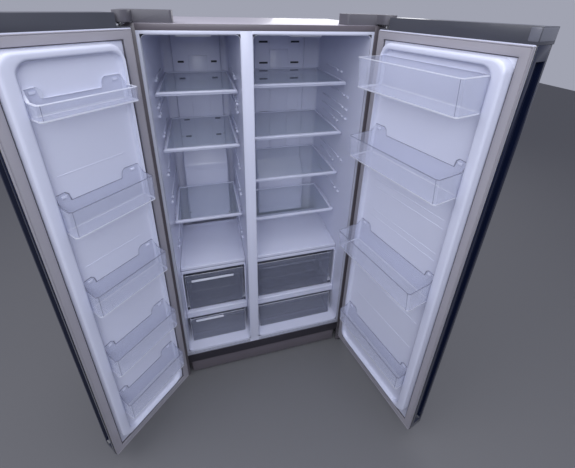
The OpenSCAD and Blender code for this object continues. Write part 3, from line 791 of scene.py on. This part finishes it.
def drawer(node):
    """One drawer: a drafted box whose front stands higher than its sides, and its pull"""
    low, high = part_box(node)
    wall, draft, pull = 0.0025, 0.006, 0.009
    tall = high.z
    upper = low.z > 0.3
    side = tall - (0.040 if upper else 0.010)
    back_by = 0.0 if upper else 0.032
    front = low.y + (pull if upper else 0)
    bm = bmesh.new()

    def loop(inset, z_rear, z_front, slope):
        a, b = low.x + inset, high.x - inset
        rear, near = high.y - inset, front + inset + back_by * (z_front - low.z) / (tall - low.z)
        return [(a, near, z_front), (b, near, z_front), (b, near + slope, z_rear), (b, rear, z_rear),
                (a, rear, z_rear), (a, near + slope, z_rear)]

    rows = band(bm, [loop(draft, low.z, low.z, 0.03), loop(0, side, tall, 0.03), loop(wall, side, tall, 0.03),
                     loop(draft + wall, low.z + wall, low.z + wall, 0.03)], lid=True)
    rims = [e for row in rows[:3] for v in row for e in v.link_edges if e.other_vert(v) in row]
    feet = [rows[0][i] for i in (0, 1, 3, 4)]
    corners = [e for v in feet for e in v.link_edges if e.other_vert(v) in rows[1]]
    bmesh.ops.recalc_face_normals(bm, faces=bm.faces)
    # rims and bottom corners take the bright finish as a painted highlight
    soften(bm, 0.0012, 2, edges=list(set(rims + corners)), paint=1)
    grip_top = tall - (0.028 if upper else 0.001)
    grip_y = front + back_by * (grip_top - 0.011 - low.z) / (tall - low.z)
    add_bar(bm, (low.x + 0.006, grip_y - pull + 0.003, grip_top - 0.011),
            (high.x - 0.006, grip_y + 0.001, grip_top), 0.003, 3)
    for z in ([0.43, 0.49] if upper else [0.240]):
        y = front + back_by * (z - low.z) / (tall - low.z)
        add_bar(bm, (low.x + 0.02, y + 0.0006, z), (high.x - 0.02, y + 0.0034, z + 0.003), 0.0008, 1)
    first = len(bm.faces)
    if "freezer" in node:
        strip = 0.235 if upper else 0.170
        add_bar(bm, (low.x + 0.030, grip_y - pull, grip_top - 0.012),
                (low.x + strip, grip_y, grip_top - 0.001), 0.003, 3)
    bm.faces.ensure_lookup_table()
    for face in bm.faces[first:]:
        face.material_index = 1
    put(node + "_box", bm, [drawer_plastic_painted_shade, clear_edge_painted_highlight], body_of(node), [node])


for room in ("freezer", "fridge"):
    drawer_lid(room)
    for place in ("upper", "lower"):
        drawer(f"{room}_drawer_{place}")

# ---------------------------------------------------------------------------
# Air ducts: a white moulded cover on each rear wall with hooded outlet slots in
# pairs, drawn as dark bars that are painted shade, a raised middle panel and
# pressed joint lines. It bulges over the coil low down, and screws hold it to
# the wall behind.
# ---------------------------------------------------------------------------

# dark finish for the vent slots: painted shade inside the openings
slot_painted_shade = finish("slot_shade", (0.03, 0.032, 0.04), (0.02, 0.02, 0.026), (0.6, 0.8))


def duct(room, top_y, low_y, bend_z, rise, vents, panel, seams, vent_w):
    """One cover, drawn as its side outline and pulled across; vents and seams are places on it"""
    node = room + "_duct_cover"
    low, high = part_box(node)
    wall_y = 0.5449
    side = [(high.z, wall_y), (high.z - 0.006, top_y), (bend_z + rise, top_y), (bend_z, low_y),
            (low.z, low_y), (low.z, wall_y)]
    bm = bmesh.new()
    left = [bm.verts.new((low.x, y, z)) for z, y in side]
    right = [bm.verts.new((high.x, y, z)) for z, y in side]
    bm.faces.new(left)
    bm.faces.new(right[::-1])
    for i in range(len(side)):
        j = (i + 1) % len(side)
        bm.faces.new((left[j], left[i], right[i], right[j]))
    bmesh.ops.recalc_face_normals(bm, faces=bm.faces)
    soften(bm, 0.010, 4, angle=12)
    x0, x1, z_top = panel
    add_bar(bm, (x0, top_y - 0.0022, bend_z + rise + 0.012), (x1, top_y + 0.004, z_top), 0.0016, 2)
    for x in seams:
        add_bar(bm, (x - 0.0011, top_y - 0.0012, bend_z + rise + 0.006),
                (x + 0.0011, top_y + 0.002, high.z - 0.03), 0.0004, 1)
    for z in (bend_z - 0.03, low.z + 0.03):
        add_bar(bm, (low.x + 0.012, low_y - 0.0009, z), (high.x - 0.012, low_y + 0.002, z + 0.0024), 0.0006, 1)
    # the vent bars take the dark finish as painted shade
    first = len(bm.faces)
    half = vent_w / 2
    for x, z in vents:
        add_bar(bm, (x - half, top_y - 0.0015, z - 0.0045), (x + half, top_y + 0.002, z + 0.0045), 0.0006, 1)
    bm.faces.ensure_lookup_table()
    for face in bm.faces[first:]:
        face.material_index = 1
    for x, z in vents:
        add_bar(bm, (x - half - 0.001, top_y - 0.0035, z - 0.0062),
                (x + half + 0.001, top_y + 0.001, z - 0.0044), 0.0006, 1)
    put(room + "_duct", bm, [white_plastic, slot_painted_shade], "cabinet", [node])


duct("freezer", 0.522, 0.452, 1.020, 0.080,
     [(x, z) for z in (1.545, 1.465, 1.396, 1.252, 1.160) for x in (-0.313, -0.157)],
     (-0.278, -0.189, 1.573), (-0.346, -0.128), 0.028)
duct("fridge", 0.526, 0.450, 0.900, 0.080,
     [(x, z) for z in (1.636, 1.533, 1.493, 1.451, 1.268) for x in (0.092, 0.258)],
     (0.126, 0.222, 1.600), (0.056, 0.124, 0.224, 0.286, 0.305), 0.044)


def repeat_part(name, points, shape, size, turn, material, body):
    """Sets one small dome or bar on every point of a list, grown by a tree and kept as a plain mesh"""
    tree = bpy.data.node_groups.new(name, "GeometryNodeTree")
    tree.interface.new_socket(name="Geometry", in_out="INPUT", socket_type="NodeSocketGeometry")
    tree.interface.new_socket(name="Part size", in_out="INPUT", socket_type="NodeSocketVector")
    tree.interface.new_socket(name="Turn", in_out="INPUT", socket_type="NodeSocketFloat")
    tree.interface.new_socket(name="Geometry", in_out="OUTPUT", socket_type="NodeSocketGeometry")
    nodes, links = tree.nodes, tree.links
    given, out = nodes.new("NodeGroupInput"), nodes.new("NodeGroupOutput")
    if shape == "dome":
        part = nodes.new("GeometryNodeMeshUVSphere")
        part.inputs["Segments"].default_value = 14
        part.inputs["Rings"].default_value = 8
        part.inputs["Radius"].default_value = 0.5
    else:
        part = nodes.new("GeometryNodeMeshCube")
    sized = nodes.new("GeometryNodeTransform")
    links.new(part.outputs["Mesh"], sized.inputs["Geometry"])
    links.new(given.outputs["Part size"], sized.inputs["Scale"])
    tilt = nodes.new("ShaderNodeCombineXYZ")
    links.new(given.outputs["Turn"], tilt.inputs["X"])
    seat = nodes.new("GeometryNodeInstanceOnPoints")
    links.new(tilt.outputs["Vector"], seat.inputs["Rotation"])
    links.new(given.outputs["Geometry"], seat.inputs["Points"])
    links.new(sized.outputs["Geometry"], seat.inputs["Instance"])
    real = nodes.new("GeometryNodeRealizeInstances")
    links.new(seat.outputs["Instances"], real.inputs["Geometry"])
    painted = nodes.new("GeometryNodeSetMaterial")
    painted.inputs["Material"].default_value = material
    links.new(real.outputs["Geometry"], painted.inputs["Geometry"])
    links.new(painted.outputs["Geometry"], out.inputs["Geometry"])
    cloud = bpy.data.meshes.new(name)
    cloud.from_pydata(points, [], [])
    piece = bpy.data.objects.new(name, cloud)
    bpy.context.collection.objects.link(piece)
    grown = piece.modifiers.new("repeat", "NODES")
    grown.node_group = tree
    sockets = {item.name: item.identifier for item in tree.interface.items_tree if item.in_out == "INPUT"}
    grown[sockets["Part size"]] = size
    grown[sockets["Turn"]] = turn
    shown = piece.evaluated_get(bpy.context.evaluated_depsgraph_get())
    plain = bpy.data.meshes.new_from_object(shown)
    piece.modifiers.clear()
    piece.data = plain
    smooth_by_angle(plain)
    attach(piece, body)


plated_steel = finish("zinc_plate", (0.50, 0.50, 0.52), (0.34, 0.34, 0.36), (0.25, 0.42), metallic=0.9,
                      drift_scale=30)
stock["plated_steel"] = plated_steel
repeat_part("duct_screws", [(-0.345, 0.5208, 1.161), (-0.129, 0.5208, 1.164), (-0.345, 0.4508, 0.726),
                            (-0.130, 0.4508, 0.700), (0.300, 0.4488, 0.715), (0.056, 0.4488, 0.715)],
            "dome", (0.0084, 0.0084, 0.004), math.radians(90), plated_steel, "cabinet")

# ---------------------------------------------------------------------------
# Door shells: a folded, lacquered steel pan closed by a moulded cap at the top
# and the bottom, and by a dark grip moulding along the free edge.
# ---------------------------------------------------------------------------

cap_plastic = finish("cap_plastic", (0.056, 0.059, 0.076), (0.08, 0.082, 0.10), (0.28, 0.42), coat=0.1)
door_enamel = finish("door_enamel", (0.010, 0.013, 0.028), (0.02, 0.022, 0.035), (0.10, 0.2), coat=0.6)
stock.update(dark_plastic=cap_plastic, door_paint=door_enamel)
grip_gloss = finish("grip_gloss", (0.006, 0.010, 0.034), (0.009, 0.012, 0.030), (0.08, 0.16), coat=0.2,
                    drift_scale=2)
cap_light = finish("cap_edge", (0.16, 0.165, 0.20), (0.12, 0.125, 0.155), (0.26, 0.4), coat=0.2)


def cap_end(room):
    """The separate round-cornered block that closes the free end of a top cap"""
    low, high = shut_box(room, room + "_door_top_cap")
    bm = bmesh.new()
    add_bar(bm, (low.x - 0.0008, low.y - 0.0004, 1.7385),
            (low.x + 0.028, high.y + 0.0006, high.z + 0.0004), 0.005, 4)
    hang(room, "cap_end", bm, [cap_light], [room + "_door_top_cap"])


for room in ("freezer", "fridge"):
    cap_end(room)
    eased(room + "_door_skin", [door_enamel], 0.0004)
    eased(room + "_door_edge_trim", [grip_gloss], 0.0012)
    eased(room + "_door_top_cap", [cap_plastic], 0.0022, 3)
    eased(room + "_door_bottom_cap", [cap_plastic], 0.0012)

# ---------------------------------------------------------------------------
# Hinges: pressed and zinc plated steel plates bolted to the cabinet, each with
# a round pin, under moulded covers on the cabinet's top.
# ---------------------------------------------------------------------------

hinge_cover_plastic = finish("cover_plastic", (0.105, 0.10, 0.12), (0.15, 0.145, 0.165), (0.42, 0.6),
                             dust=0.3)
stock["cover_plastic"] = hinge_cover_plastic
eased("upper_hinges", [plated_steel], 0.0006)
eased("lower_hinges", [plated_steel], 0.0006)
eased("hinge_covers", [hinge_cover_plastic], 0.0035, 3)

# ---------------------------------------------------------------------------
# Base: a front rail painted near black, partly as shade under the liner's sill, a
# mauve kick plate with turned back ends, the frame, its two levelling feet and
# two rear rollers.
# ---------------------------------------------------------------------------

# near-black rail colour: partly painted shade under the liner's sill
rail_enamel_and_shade = finish("rail_enamel_and_shade", (0.028, 0.024, 0.034), (0.05, 0.045, 0.055), (0.4, 0.55), dust=0.3)
black_plastic = finish("black_moulding", (0.02, 0.02, 0.022), (0.045, 0.044, 0.046), (0.4, 0.55), dust=0.3)
stock.update(rail_paint=rail_enamel_and_shade, black_plastic=black_plastic)
eased("front_rail", [rail_enamel_and_shade], 0.0015)
eased("kick_plate", [enamel], 0.0010)
eased("base_frame", [plated_steel], 0.0008)
eased("levelling_feet", [black_plastic], 0.0012)
for roller_node in ("left_roller", "right_roller"):
    eased(roller_node, [black_plastic], 0.0012)

# ---------------------------------------------------------------------------
# Cooling parts: the coil and its fan behind the freezer duct, the compressor,
# condenser, fan and drain pan in the machine space, behind a louvred cover.
# ---------------------------------------------------------------------------

coil_metal = finish("coil_metal", (0.62, 0.63, 0.65), (0.48, 0.49, 0.5), (0.3, 0.45), metallic=0.9)
black_enamel = finish("black_enamel", (0.016, 0.016, 0.018), (0.04, 0.038, 0.036), (0.3, 0.5), dust=0.3)
galvanised = finish("galvanised_sheet", (0.40, 0.40, 0.42), (0.30, 0.30, 0.32), (0.32, 0.5), metallic=0.85,
                    drift_scale=22)
stock.update(coil_aluminium=coil_metal, black_steel=black_enamel, sheet_steel=galvanised)
eased("evaporator", [coil_metal], 0.0003)
eased("evaporator_fan", [black_plastic], 0.0005)
eased("condenser_fan", [black_plastic], 0.0005)
eased("compressor", [black_enamel], 0.003, 3)
eased("condenser", [black_enamel], 0.0004)
eased("drain_pan", [black_plastic], 0.0008)
eased("back_panel", [galvanised], 0.0004)
eased("compressor_cover", [galvanised], 0.0004)
eased("mains_inlet", [black_plastic], 0.0006)
rear_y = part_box("compressor_cover")[1].y
repeat_part("louvre_hoods", [((x + 18) * mm, rear_y - 0.0004, (z + 9.5) * mm) for x in range(-400, 201, 50)
                             for z in range(90, 251, 40)],
            "bar", (0.036, 0.0012, 0.005), math.radians(-24), galvanised, "cabinet")
repeat_part("rear_screws", [(side * 0.445, rear_y - 0.0003, z * mm) for side in (-1, 1)
                            for z in (40, 170, 310, 420, 700, 980, 1260, 1540, 1720)],
            "dome", (0.009, 0.009, 0.0026), math.radians(90), plated_steel, "cabinet")

# ---------------------------------------------------------------------------
# Drawn parts: each takes the finish of the stock it is made from. The ones that
# no shaped piece stands for, such as the foam behind the liners, show as drawn.
# ---------------------------------------------------------------------------

for node, drawn in frame["nodes"].items():
    drawn.data.materials.clear()
    drawn.data.materials.append(stock[slot_of(node)])
